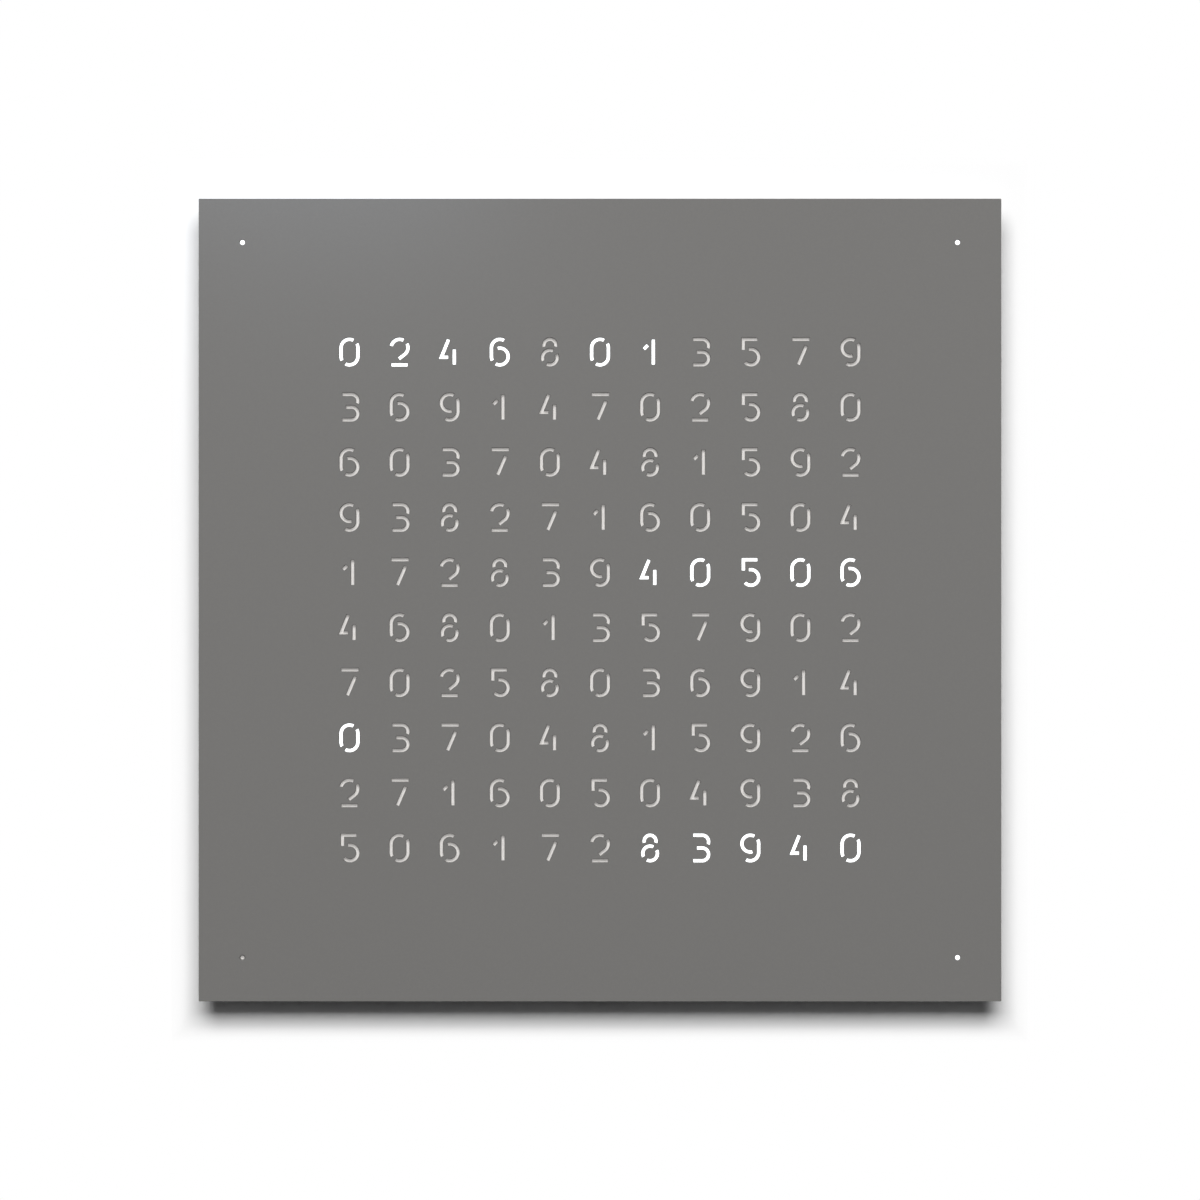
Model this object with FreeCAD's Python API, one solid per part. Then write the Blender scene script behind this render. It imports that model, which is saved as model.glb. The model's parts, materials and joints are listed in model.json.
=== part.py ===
import FreeCAD, Part
import math
import os

# Wall clock with a stencil-cut sheet front: a square cover held by magnets on a shallow housing.
# The origin is the middle of the wall plane. +Z is up, +X is to the right, and the front faces -Y.

# Overall
FIELD_MARGIN = 70.45
WALL_TO_FRONT = 20.0
COVER_THICKNESS = 2.0
COVER_GAP = 0.3
BODY_INSET = 5.0
BODY_CORNER = 2.0
PAD_THICKNESS = 1.0
PAD_EDGE = 0.3

# Character field
COLUMNS = 11
ROWS = 10
PITCH_X = 28.1
PITCH_Z = 30.9
DIGIT_HALF_WIDTH = 4.7
DIGIT_HALF_HEIGHT = 7.15
STROKE_FRONT = 2.4
STROKE_BACK = 1.7
BRIDGE = 1.7
BAR_TRIM = 0.6
DOT_INSET = 24.5
DOT_FRONT = 3.4
DOT_BACK = 2.6

# Housing frame
WALL = 3.0
RIM = 8.0
LEDGE = 4.0
RIM_THICKNESS = 4.0
SCREW_BOSS = 7.0
SCREWS_PER_SIDE = 3
BACK_THICKNESS = 2.0
BACK_CLEARANCE = 0.3

# Light path
DIFFUSER_THICKNESS = 1.0
DIFFUSER_CLEARANCE = 0.5
GRID_DEPTH = 7.5
GRID_WALL = 1.5
BOARD_THICKNESS = 1.6
BOARD_MARGIN = 9.0
BOARD_SPLIT = 0.5
SIDE_SCREW_SHARES = (-0.8, -0.25, 0.25, 0.8)
END_SCREW_SHARES = (-0.45, 0.45)
LUG_SIZE = 8.0
LUG_THICKNESS = 2.0
LED_SIDE = 5.0
LED_HEIGHT = 1.6
LED_LENS = 3.6
TUBE_OUTER = 13.0
TUBE_WALL = 1.2
DOT_BOARD_LENGTH = 26.0
DOT_BOARD_WIDTH = 13.0
DOT_SCREW_OFFSET = 14.5

# Fasteners
BOARD_SCREW = 2.5
BOARD_SCREW_HEAD = 5.0
BOARD_HEAD_HEIGHT = 1.6
STANDOFF_WIDTH = 5.5
BACK_SCREW = 3.0
BACK_SCREW_HEAD = 5.6
BACK_HEAD_HEIGHT = 0.8
BACK_SCREW_LENGTH = 9.0
FIT = 0.05
PICK = 0.05

# Cover studs and magnets
STUD_DIAMETER = 4.0
STUD_LENGTH = 3.0
STUD_INSET = 6.0
STUD_CLEARANCE = 0.3
MAGNET_LENGTH = 20.0
MAGNET_WIDTH = 5.0
MAGNET_THICKNESS = 3.0
MAGNET_OFFSET = 90.0
MAGNET_CLEARANCE = 0.1

# Hangers
HANGER_SPACING = 240.0
HANGER_DROP = 32.0
HANGER_WIDTH = 40.0
HANGER_TALL = 26.0
HANGER_THICKNESS = 1.2
KEYHOLE_HEAD = 9.0
KEYHOLE_SLOT = 4.6
KEYHOLE_TRAVEL = 8.0
HEAD_WINDOW_WIDTH = 24.0
HEAD_WINDOW_TALL = 20.0
RIVET = 3.0
RIVET_HEAD = 5.0
RIVET_HEAD_HEIGHT = 0.9
PAD_DIAMETER = 14.0
PAD_INSET = 30.0

# Control board
CONTROL_LEFT = -130.0
CONTROL_RIGHT = 12.0
CONTROL_BOARD_GAP = 1.75
CONTROL_WALL_GAP = 11.0
CONTROL_STANDOFF = 1.5
CONTROL_HOLE_INSET = 5.0

# Power inlet and the trough that a plug lies in
JACK_X = 0.0
JACK_WIDTH = 7.0
JACK_HEIGHT = 6.5
JACK_LENGTH = 10.5
JACK_BORE = 3.6
JACK_BORE_DEPTH = 8.5
JACK_PIN = 1.3
JACK_PIN_RECESS = 1.3
TROUGH_WIDTH = 14.0
TROUGH_LENGTH = 36.0
TROUGH_DEPTH = 11.0
TROUGH_WALL = 1.5
TROUGH_FLANGE = 4.0

# Push buttons
BUTTONS = 3
BUTTON_FIRST_X = -116.0
BUTTON_PITCH = 20.0
BUTTON_DIAMETER = 6.0
BUTTON_FLANGE = 8.0
BUTTON_FLANGE_THICKNESS = 1.2
BUTTON_PROUD = 1.5
BUTTON_CLEARANCE = 0.25
BUTTON_TRAVEL = 0.6
SWITCH_SIDE = 6.0
SWITCH_HEIGHT = 3.5
SWITCH_BORE_DEPTH = 4.0
PLUNGER_DIAMETER = 2.6
PLUNGER_CLEARANCE = 0.25
PLUNGER_PROUD = 2.0
PLUNGER_END_GAP = 0.3

# Brightness sensor
SENSOR_X = -34.0
SENSOR_SIDE = 2.6
SENSOR_HEIGHT = 3.0
WINDOW_DIAMETER = 4.0
WINDOW_HEAD = 6.0
WINDOW_GAP = 0.3

# Electronics
CELL_DIAMETER = 20.0
CELL_THICKNESS = 3.2
CELL_X = -64.0
CELL_EDGE = 0.5
HOLDER_WALL = 1.5
HOLDER_FLOOR = 1.0
CHIP_SIDE = 9.0
CHIP_HEIGHT = 1.4
CHIP_X = -98.0
CLOCK_CHIP_WIDTH = 5.0
CLOCK_CHIP_X = -84.0
CRYSTAL_LENGTH = 7.0
CRYSTAL_DIAMETER = 2.6
CRYSTAL_X = -84.0
CAPACITOR_DIAMETER = 6.3
CAPACITOR_HEIGHT = 5.4
CAPACITOR_BASE = 1.0
CAPACITOR_XS = (-32.0, -22.0)
REGULATOR_WIDTH = 6.5
REGULATOR_HEIGHT = 2.3
REGULATOR_TAB_WIDTH = 5.5
REGULATOR_TAB_LENGTH = 2.0
REGULATOR_X = -11.0
DRIVER_WIDTH = 8.0
DRIVER_LENGTH = 12.0
DRIVER_HEIGHT = 1.6
DRIVER_XS = (-60.0, 60.0)
RIBBON_WIDTH = 16.0
RIBBON_THICKNESS = 0.3
RIBBON_X = -100.0
CONNECTOR_WIDTH = 20.0
CONNECTOR_LENGTH = 5.0
CONNECTOR_HEIGHT = 1.4
CABLE_DIAMETER = 2.4
CABLE_DROP = 50.5
CABLE_TURN_SHARE = 0.45
SOCKET_WIDTH = 7.0
SOCKET_LENGTH = 6.0
SOCKET_HEIGHT = 4.0

# Derived planes, as distances along Y
BACK_Y = -PAD_THICKNESS
PANEL_Y = BACK_Y - BACK_THICKNESS
FRONT_Y = -WALL_TO_FRONT
COVER_BACK_Y = FRONT_Y + COVER_THICKNESS
RIM_Y = COVER_BACK_Y + COVER_GAP
LEDGE_Y = RIM_Y + DIFFUSER_THICKNESS
BOARD_FRONT_Y = LEDGE_Y + GRID_DEPTH
BOARD_BACK_Y = BOARD_FRONT_Y + BOARD_THICKNESS
CONTROL_BACK_Y = PANEL_Y - CONTROL_STANDOFF
CONTROL_FRONT_Y = CONTROL_BACK_Y - BOARD_THICKNESS
SWITCH_Y = CONTROL_FRONT_Y - SWITCH_HEIGHT / 2
JACK_Y = CONTROL_FRONT_Y - JACK_HEIGHT / 2
TROUGH_Y = PANEL_Y - TROUGH_DEPTH
RIBBON_Y = (CONTROL_FRONT_Y + BOARD_BACK_Y) / 2

# Derived half widths and heights
HALF_FACE = max(COLUMNS * PITCH_X, ROWS * PITCH_Z) / 2 + FIELD_MARGIN
HALF_BODY = HALF_FACE - BODY_INSET
HALF_INNER = HALF_BODY - WALL
HALF_RIM = HALF_BODY - RIM
HALF_LEDGE = HALF_RIM - LEDGE
HALF_PANEL = HALF_INNER - BACK_CLEARANCE
DOT_AT = HALF_FACE - DOT_INSET
STUD_AT = HALF_BODY - STUD_INSET
MAGNET_AT = HALF_BODY - RIM / 2
HALF_GRID_X = (COLUMNS * PITCH_X + GRID_WALL) / 2
HALF_GRID_Z = (ROWS * PITCH_Z + GRID_WALL) / 2
HALF_BOARD_X = HALF_GRID_X + BOARD_MARGIN
HALF_BOARD_Z = HALF_GRID_Z + BOARD_MARGIN
BOSS_AT = HALF_INNER - SCREW_BOSS / 2 - BACK_CLEARANCE
CONTROL_BOTTOM = -HALF_INNER + CONTROL_WALL_GAP
CONTROL_TOP = -HALF_BOARD_Z - CONTROL_BOARD_GAP
HANGER_HEIGHT = HALF_INNER - HANGER_DROP
CABLE_START_Z = DOT_AT - CABLE_DROP
TROUGH_TOP = -HALF_BODY + TROUGH_LENGTH
BOWL_RISE = DIGIT_HALF_HEIGHT - DIGIT_HALF_WIDTH
RUN_OUT = COVER_THICKNESS / 4


def point(x, z, y=0.0):
    return FreeCAD.Vector(x, y, z)


def box(x0, x1, y0, y1, z0, z1):
    low = FreeCAD.Vector(min(x0, x1), min(y0, y1), min(z0, z1))
    return Part.makeBox(abs(x1 - x0), abs(y1 - y0), abs(z1 - z0), low)


def square(half, y0, y1):
    return box(-half, half, y0, y1, -half, half)


def post(x, z, y0, y1, diameter):
    """A round bar along Y."""
    low = min(y0, y1)
    return Part.makeCylinder(diameter / 2, abs(y1 - y0), point(x, z, low), FreeCAD.Vector(0, 1, 0))


def rod(x, y, z0, z1, diameter):
    """A round bar along Z."""
    low = min(z0, z1)
    return Part.makeCylinder(diameter / 2, abs(z1 - z0), FreeCAD.Vector(x, y, low))


def hexagon(x, z, y0, y1, across_flats):
    """A hexagonal bar along Y."""
    radius = across_flats / math.sqrt(3)
    corners = []
    for turn in range(7):
        angle = math.radians(60 * turn)
        corners.append(point(x + radius * math.cos(angle), z + radius * math.sin(angle), y0))
    face = Part.Face(Part.makePolygon(corners))
    return face.extrude(FreeCAD.Vector(0, y1 - y0, 0))


def joined(solids):
    whole = solids[0]
    if len(solids) > 1:
        whole = whole.fuse(solids[1:])
    return whole.removeSplitter()


def drilled(solid, cutters):
    return solid.cut(Part.makeCompound(cutters))


def four_corners(at_x, at_z):
    return [(sx * at_x, sz * at_z) for sx in (-1, 1) for sz in (-1, 1)]


# Stencil digits. A stroke is a run of lines and arcs on its centreline, in the plane of the face.
def line(x0, z0, x1, z1):
    return ("line", (x0, z0), (x1, z1))


def arc(centre_x, centre_z, radius, start, end):
    """Angles in degrees. The arc runs anticlockwise where end is larger than start."""
    return ("arc", (centre_x, centre_z), radius, start, end)


def half_gap(radius):
    """Half the angle of a bridge across a bowl of this radius."""
    return math.degrees((BRIDGE + STROKE_FRONT - STROKE_BACK) / 2 / radius)


def half_turned(strokes):
    """The strokes turned by half a turn, as a six becomes a nine."""
    turned = []
    for stroke in strokes:
        run = []
        for piece in stroke:
            if piece[0] == "line":
                run.append(line(-piece[1][0], -piece[1][1], -piece[2][0], -piece[2][1]))
            else:
                run.append(arc(-piece[1][0], -piece[1][1], piece[2], piece[3] + 180, piece[4] + 180))
        turned.append(run)
    return turned


def digit_strokes(digit):
    a = DIGIT_HALF_WIDTH
    b = DIGIT_HALF_HEIGHT
    c = BOWL_RISE
    gap = half_gap(a)
    if digit == 0:
        left = [arc(0, c, a, 45 + gap, 180), line(-a, c, -a, -c), arc(0, -c, a, 180, 225 - gap)]
        right = [arc(0, -c, a, 225 + gap, 360), line(a, -c, a, c), arc(0, c, a, 0, 45 - gap)]
        return [left, right]
    if digit == 1:
        stem = 1.8
        flag_start = (-3.6, 1.55)
        flag_end = (-1.2, 3.95)
        return [[line(stem, b, stem, -b)], [line(*flag_start, *flag_end)]]
    if digit == 2:
        reach = math.hypot(a, b + c)
        slope = math.atan2(b + c, a) - math.asin(a / reach)
        run = math.sqrt(reach ** 2 - a ** 2)
        foot = 5.4
        tangent = (-a + run * math.cos(slope), -b + run * math.sin(slope))
        low = (-a + foot * math.cos(slope), -b + foot * math.sin(slope))
        return [
            [arc(0, c, a, 45 + gap, 170)],
            [arc(0, c, a, 45 - gap, math.degrees(slope) - 90), line(*tangent, *low)],
            [line(-a, -b, a, -b)],
        ]
    if digit == 3:
        r = b / 2
        x = a - r
        end = -a + BAR_TRIM
        waist_end = -2.0
        return [
            [line(end, b, x, b), arc(x, r, r, 90, -26)],
            [line(waist_end, 0, x, 0), arc(x, -r, r, 90, -90), line(x, -b, end, -b)],
        ]
    if digit == 4:
        peak = -0.6
        stem = 2.6
        stem_top = 1.6
        bar = -2.9
        return [
            [line(peak, b, -a, bar), line(-a, bar, stem - STROKE_FRONT - BRIDGE / 2, bar)],
            [line(stem, stem_top, stem, -b)],
        ]
    if digit == 5:
        waist = 1.6
        waist_end = -1.0
        r = (b + waist) / 2
        x = a - r
        side = -a + 0.8
        side_foot = 1.0
        return [
            [line(a - BAR_TRIM, b, side, b), line(side, b, side, side_foot)],
            [line(waist_end, waist, x, waist), arc(x, waist - r, r, 90, -140)],
        ]
    if digit == 6:
        return [
            [arc(0, c, a, 58, 180), line(-a, c, -a, -c), arc(0, -c, a, 180, 225 - gap)],
            [arc(0, -c, a, 225 + gap, 360 + 106)],
        ]
    if digit == 7:
        leg_top = (3.4, 3.6)
        leg_foot = (-1.2, -b)
        return [[line(-a, b, a + BAR_TRIM, b)], [line(*leg_top, *leg_foot)]]
    if digit == 8:
        low = 4.1
        high = 3.3
        gap = half_gap(low)
        z = -b + low
        return [
            [arc(0, b - high, high, -18, 198)],
            [arc(0, z, low, 45 + gap, 225 - gap)],
            [arc(0, z, low, 225 + gap, 405 - gap)],
        ]
    return half_turned(digit_strokes(6))


def on_arc(piece, angle, offset):
    """A point of an arc moved sideways: offset is positive to the left of travel."""
    turn = 1 if piece[4] > piece[3] else -1
    radius = piece[2] - turn * offset
    angle = math.radians(angle)
    return (piece[1][0] + radius * math.cos(angle), piece[1][1] + radius * math.sin(angle))


def line_side(piece, offset):
    """Both ends of a line moved sideways, and its direction."""
    (x0, z0), (x1, z1) = piece[1], piece[2]
    length = math.hypot(x1 - x0, z1 - z0)
    ux, uz = (x1 - x0) / length, (z1 - z0) / length
    shift = (-uz * offset, ux * offset)
    return (x0 + shift[0], z0 + shift[1]), (x1 + shift[0], z1 + shift[1]), (ux, uz)


def mitre(first, second, offset):
    """Where the shifted lines of a corner cross."""
    _, end, (ux, uz) = line_side(first, offset)
    start, _, (vx, vz) = line_side(second, offset)
    cross = ux * vz - uz * vx
    t = ((start[0] - end[0]) * vz - (start[1] - end[1]) * vx) / cross
    return (end[0] + ux * t, end[1] + uz * t)


def side_edges(stroke, offset, y):
    """The edges of one side of a stroke, in order of travel."""
    edges = []
    for index, piece in enumerate(stroke):
        if piece[0] == "arc":
            ends = [point(*on_arc(piece, angle, offset), y) for angle in (piece[3], piece[4])]
            middle = point(*on_arc(piece, (piece[3] + piece[4]) / 2, offset), y)
            edges.append(Part.Arc(ends[0], middle, ends[1]).toShape())
            continue
        start, end, _ = line_side(piece, offset)
        if index > 0 and stroke[index - 1][0] == "line":
            start = mitre(stroke[index - 1], piece, offset)
        if index + 1 < len(stroke) and stroke[index + 1][0] == "line":
            end = mitre(piece, stroke[index + 1], offset)
        edges.append(Part.LineSegment(point(*start, y), point(*end, y)).toShape())
    return edges


def stroke_outline(stroke, width, y):
    left = side_edges(stroke, width / 2, y)
    right = side_edges(stroke, -width / 2, y)
    start_cap = Part.LineSegment(right[0].Vertexes[0].Point, left[0].Vertexes[0].Point).toShape()
    end_cap = Part.LineSegment(left[-1].Vertexes[-1].Point, right[-1].Vertexes[-1].Point).toShape()
    return Part.Wire(Part.sortEdges([start_cap] + left + [end_cap] + right)[0])


def tapered(stroke):
    """A slot through the cover, wider at the front, run on past both faces."""
    flare = (STROKE_FRONT - STROKE_BACK) / COVER_THICKNESS * RUN_OUT
    front = stroke_outline(stroke, STROKE_FRONT + flare, FRONT_Y - RUN_OUT)
    back = stroke_outline(stroke, STROKE_BACK - flare, COVER_BACK_Y + RUN_OUT)
    return Part.makeLoft([front, back], True, True)


def cell_centres():
    centres = []
    for row in range(ROWS):
        for column in range(COLUMNS):
            x = (column - (COLUMNS - 1) / 2) * PITCH_X
            z = ((ROWS - 1) / 2 - row) * PITCH_Z
            centres.append((row, column, x, z))
    return centres


def digit_at(row, column):
    """A plain mixed order: each row steps through the digits at its own pace."""
    pace = row % 5 + 2
    return (pace * column + 3 * row) % 11 % 10


def front_cover():
    slots = {digit: [tapered(stroke) for stroke in digit_strokes(digit)] for digit in range(10)}
    cutters = []
    for row, column, x, z in cell_centres():
        for slot in slots[digit_at(row, column)]:
            cutter = slot.copy()
            cutter.translate(point(x, z))
            cutters.append(cutter)
    flare = (DOT_FRONT - DOT_BACK) / COVER_THICKNESS * RUN_OUT / 2
    depth = COVER_THICKNESS + 2 * RUN_OUT
    along = FreeCAD.Vector(0, 1, 0)
    for x, z in four_corners(DOT_AT, DOT_AT):
        start = point(x, z, FRONT_Y - RUN_OUT)
        cutters.append(Part.makeCone(DOT_FRONT / 2 + flare, DOT_BACK / 2 - flare, depth, start, along))
    return drilled(square(HALF_FACE, FRONT_Y, COVER_BACK_Y), cutters)


def cover_studs():
    studs = []
    lead = STUD_DIAMETER / 8
    for x, z in four_corners(STUD_AT, STUD_AT):
        stud = post(x, z, COVER_BACK_Y, COVER_BACK_Y + STUD_LENGTH, STUD_DIAMETER)
        end = [edge for edge in stud.Edges if edge.BoundBox.YMin > COVER_BACK_Y + STUD_LENGTH - PICK]
        studs.append(stud.makeChamfer(lead, end))
    return studs


def magnet_places():
    """Two bars on each side of the rim: centre, half extent in X, half extent in Z."""
    places = []
    for along in (-MAGNET_OFFSET, MAGNET_OFFSET):
        for across in (-MAGNET_AT, MAGNET_AT):
            places.append((along, across, MAGNET_LENGTH / 2, MAGNET_WIDTH / 2))
            places.append((across, along, MAGNET_WIDTH / 2, MAGNET_LENGTH / 2))
    return places


def magnet_bars(grow):
    bars = []
    for x, z, half_x, half_z in magnet_places():
        half_x += grow
        half_z += grow
        bars.append(box(x - half_x, x + half_x, RIM_Y, RIM_Y + MAGNET_THICKNESS + grow,
                        z - half_z, z + half_z))
    return bars


def boss_places():
    """Screw bosses round the inside of the frame, kept clear of the trough and the buttons."""
    places = []
    step = 2 * BOSS_AT / (SCREWS_PER_SIDE + 1)
    for count in range(SCREWS_PER_SIDE):
        along = -BOSS_AT + step * (count + 1)
        places += [(-BOSS_AT, along), (BOSS_AT, along), (along, BOSS_AT)]
    places += [(-BOSS_AT + step / 4, -BOSS_AT), (BOSS_AT - step / 4, -BOSS_AT), (step / 2, -BOSS_AT)]
    return places


def button_xs():
    return [BUTTON_FIRST_X + count * BUTTON_PITCH for count in range(BUTTONS)]


def boss(x, z):
    """A screw boss and the web that ties it to the wall beside it."""
    half = SCREW_BOSS / 2
    front = RIM_Y + RIM_THICKNESS
    if abs(x) > abs(z):
        web = box(x, math.copysign(HALF_INNER, x), front, PANEL_Y, z - half, z + half)
    else:
        web = box(x - half, x + half, front, PANEL_Y, z, math.copysign(HALF_INNER, z))
    return [post(x, z, front, PANEL_Y, SCREW_BOSS), web]


def housing_frame():
    frame = square(HALF_BODY, RIM_Y, BACK_Y)
    depth = abs(RIM_Y - BACK_Y)
    corners = [edge for edge in frame.Edges if edge.BoundBox.YLength > depth / 2]
    frame = frame.makeFillet(BODY_CORNER, corners)
    frame = frame.cut(square(HALF_RIM, RIM_Y, LEDGE_Y))
    frame = frame.cut(square(HALF_LEDGE, LEDGE_Y, RIM_Y + RIM_THICKNESS))
    frame = frame.cut(square(HALF_INNER, RIM_Y + RIM_THICKNESS, BACK_Y))
    bosses = []
    for x, z in boss_places():
        bosses += boss(x, z)
    frame = joined([frame] + bosses)
    cutters = magnet_bars(MAGNET_CLEARANCE)
    for x, z in four_corners(STUD_AT, STUD_AT):
        depth = STUD_LENGTH + STUD_CLEARANCE
        cutters.append(post(x, z, RIM_Y, COVER_BACK_Y + depth, STUD_DIAMETER + 2 * STUD_CLEARANCE))
    for x, z in boss_places():
        cutters.append(post(x, z, PANEL_Y, BACK_Y - BACK_SCREW_LENGTH - FIT, BACK_SCREW + 2 * FIT))
    for x in button_xs():
        bore = BUTTON_DIAMETER + 2 * BUTTON_CLEARANCE
        cutters.append(rod(x, SWITCH_Y, -HALF_BODY, -HALF_INNER, bore))
    window = WINDOW_DIAMETER + 2 * FIT
    cutters.append(rod(SENSOR_X, SWITCH_Y, -HALF_BODY, -HALF_INNER, window))
    notch = TROUGH_WIDTH / 2
    cutters.append(box(JACK_X - notch, JACK_X + notch, TROUGH_Y, BACK_Y, -HALF_BODY, -HALF_INNER))
    notch += TROUGH_WALL + BACK_CLEARANCE
    cutters.append(box(JACK_X - notch, JACK_X + notch, TROUGH_Y - TROUGH_WALL - BACK_CLEARANCE, BACK_Y,
                       -HALF_INNER, -HALF_LEDGE))
    return drilled(frame, cutters)


def keyhole(x, z, y0, y1):
    """Entry hole at the bottom, slot above it."""
    top = z + KEYHOLE_TRAVEL
    slot = box(x - KEYHOLE_SLOT / 2, x + KEYHOLE_SLOT / 2, y0, y1, z, top)
    return joined([post(x, z, y0, y1, KEYHOLE_HEAD), slot, post(x, top, y0, y1, KEYHOLE_SLOT)])


def hanger_xs():
    return (-HANGER_SPACING / 2, HANGER_SPACING / 2)


def rivet_places(x):
    out = (HANGER_WIDTH + HEAD_WINDOW_WIDTH) / 4
    return [(x - out, HANGER_HEIGHT), (x + out, HANGER_HEIGHT)]


def hanger(x):
    """A keyhole plate on the inside of the back panel."""
    plate = box(x - HANGER_WIDTH / 2, x + HANGER_WIDTH / 2, PANEL_Y, PANEL_Y - HANGER_THICKNESS,
                HANGER_HEIGHT - HANGER_TALL / 2, HANGER_HEIGHT + HANGER_TALL / 2)
    cutters = [keyhole(x, HANGER_HEIGHT - KEYHOLE_TRAVEL / 2, PANEL_Y, PANEL_Y - HANGER_THICKNESS)]
    for rivet_x, rivet_z in rivet_places(x):
        cutters.append(post(rivet_x, rivet_z, PANEL_Y, PANEL_Y - HANGER_THICKNESS, RIVET + 2 * FIT))
    return drilled(plate, cutters)


def hanger_rivets():
    rivets = []
    inner = PANEL_Y - HANGER_THICKNESS
    for x in hanger_xs():
        for rivet_x, rivet_z in rivet_places(x):
            shank = post(rivet_x, rivet_z, BACK_Y, inner, RIVET)
            head = post(rivet_x, rivet_z, inner, inner - RIVET_HEAD_HEIGHT, RIVET_HEAD)
            tail = post(rivet_x, rivet_z, BACK_Y, BACK_Y + RIVET_HEAD_HEIGHT, RIVET_HEAD)
            rivets.append(joined([shank, head, tail]))
    return rivets


def board_hole_places():
    """Screw places in the margin of the two LED boards."""
    side = HALF_GRID_X + LUG_SIZE / 2
    end = HALF_GRID_Z + LUG_SIZE / 2
    places = []
    for x in (-side, side):
        for share in SIDE_SCREW_SHARES:
            places.append((x, share * HALF_GRID_Z))
    for z in (-end, end):
        for share in END_SCREW_SHARES:
            places.append((share * HALF_GRID_X, z))
    return places


def dot_screw_places():
    places = []
    for x, z in four_corners(DOT_AT, DOT_AT):
        places.append((x - math.copysign(DOT_SCREW_OFFSET, x), z))
    return places


def control_hole_places():
    left = CONTROL_LEFT + CONTROL_HOLE_INSET
    right = JACK_X - TROUGH_WIDTH / 2 - TROUGH_FLANGE - CONTROL_HOLE_INSET - TROUGH_WALL
    return [(left, CONTROL_TOP - CONTROL_HOLE_INSET), (left, CONTROL_BOTTOM + CONTROL_HOLE_INSET),
            (right, CONTROL_BOTTOM + CONTROL_HOLE_INSET)]


def back_panel():
    panel = square(HALF_PANEL, PANEL_Y, BACK_Y)
    bosses = []
    for x, z in control_hole_places():
        bosses.append(post(x, z, PANEL_Y, CONTROL_BACK_Y, STANDOFF_WIDTH))
    panel = joined([panel] + bosses)
    cutters = []
    for x, z in boss_places():
        cutters.append(post(x, z, PANEL_Y, BACK_Y, BACK_SCREW + 2 * BACK_CLEARANCE))
        cutters.append(post(x, z, BACK_Y - BACK_HEAD_HEIGHT, BACK_Y, BACK_SCREW_HEAD + 2 * BACK_CLEARANCE))
    for x in hanger_xs():
        cutters.append(box(x - HEAD_WINDOW_WIDTH / 2, x + HEAD_WINDOW_WIDTH / 2, PANEL_Y, BACK_Y,
                           HANGER_HEIGHT - HEAD_WINDOW_TALL / 2, HANGER_HEIGHT + HEAD_WINDOW_TALL / 2))
        for rivet_x, rivet_z in rivet_places(x):
            cutters.append(post(rivet_x, rivet_z, PANEL_Y, BACK_Y, RIVET + 2 * FIT))
    for x, z in board_hole_places() + dot_screw_places():
        cutters.append(post(x, z, PANEL_Y, BACK_Y, BOARD_SCREW + 2 * FIT))
    for x, z in control_hole_places():
        cutters.append(post(x, z, BACK_Y - BACK_HEAD_HEIGHT, CONTROL_BACK_Y, BOARD_SCREW + 2 * FIT))
    notch = TROUGH_WIDTH / 2
    cutters.append(box(JACK_X - notch, JACK_X + notch, PANEL_Y, BACK_Y, -HALF_PANEL, TROUGH_TOP))
    return drilled(panel, cutters)


def back_panel_screws():
    screws = []
    for x, z in boss_places():
        shank = post(x, z, BACK_Y - BACK_HEAD_HEIGHT, BACK_Y - BACK_SCREW_LENGTH, BACK_SCREW)
        head = post(x, z, BACK_Y - BACK_HEAD_HEIGHT, BACK_Y, BACK_SCREW_HEAD)
        recess = hexagon(x, z, BACK_Y, BACK_Y - BACK_HEAD_HEIGHT / 2, BACK_SCREW_HEAD / 2)
        screws.append(joined([shank, head]).cut(recess))
    return screws


def wall_pads():
    """One in each corner, and one in the middle that keeps the panel off the wall."""
    at = HALF_PANEL - PAD_INSET
    pads = []
    for x, z in four_corners(at, at) + [(0, 0)]:
        pad = post(x, z, BACK_Y, 0, PAD_DIAMETER)
        rim = [edge for edge in pad.Edges if edge.BoundBox.YMin > -PAD_EDGE]
        pads.append(pad.makeChamfer(PAD_EDGE, rim))
    return pads


def light_grid():
    grid = box(-HALF_GRID_X, HALF_GRID_X, LEDGE_Y, BOARD_FRONT_Y, -HALF_GRID_Z, HALF_GRID_Z)
    half_x = (PITCH_X - GRID_WALL) / 2
    half_z = (PITCH_Z - GRID_WALL) / 2
    wells = []
    for _, _, x, z in cell_centres():
        wells.append(box(x - half_x, x + half_x, LEDGE_Y, BOARD_FRONT_Y, z - half_z, z + half_z))
    grid = drilled(grid, wells)
    lugs = []
    holes = []
    half = LUG_SIZE / 2
    for x, z in board_hole_places():
        lugs.append(box(x - half, x + half, BOARD_FRONT_Y - LUG_THICKNESS, BOARD_FRONT_Y,
                        z - half, z + half))
        holes.append(post(x, z, BOARD_FRONT_Y - LUG_THICKNESS, BOARD_FRONT_Y, BOARD_SCREW + 2 * FIT))
    return drilled(joined([grid] + lugs), holes)


def diffuser_sheet():
    return square(HALF_RIM - DIFFUSER_CLEARANCE, RIM_Y, LEDGE_Y)


def light_tubes():
    tubes = []
    for x, z in four_corners(DOT_AT, DOT_AT):
        tube = post(x, z, LEDGE_Y, BOARD_FRONT_Y, TUBE_OUTER)
        tubes.append(tube.cut(post(x, z, LEDGE_Y, BOARD_FRONT_Y, TUBE_OUTER - 2 * TUBE_WALL)))
    return tubes


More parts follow.
